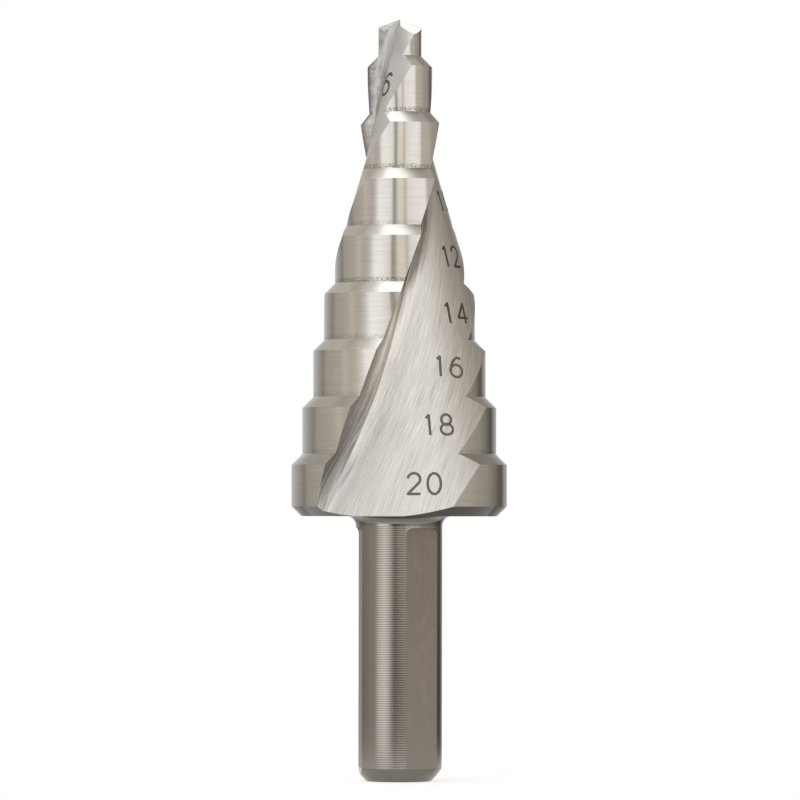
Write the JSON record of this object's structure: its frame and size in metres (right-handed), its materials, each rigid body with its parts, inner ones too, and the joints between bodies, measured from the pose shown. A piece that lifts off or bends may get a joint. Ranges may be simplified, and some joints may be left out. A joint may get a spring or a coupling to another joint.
{
  "type": "step drill",
  "caption": "Stepped sheet-metal drill with two spiral flutes, a split point and a round shank with three flats.",
  "frame": {"origin": "centre of the shank's flat end face", "axes": "+Z along the tool's axis towards the point; -Y is the side on which the printed sizes face the viewer"},
  "size_m": [0.02, 0.0182, 0.0706],
  "materials": {
    "ground_steel": "ground"
  },
  "bodies": {
    "root": {"step_drill": "ground_steel"}
  },
  "joints": []
}
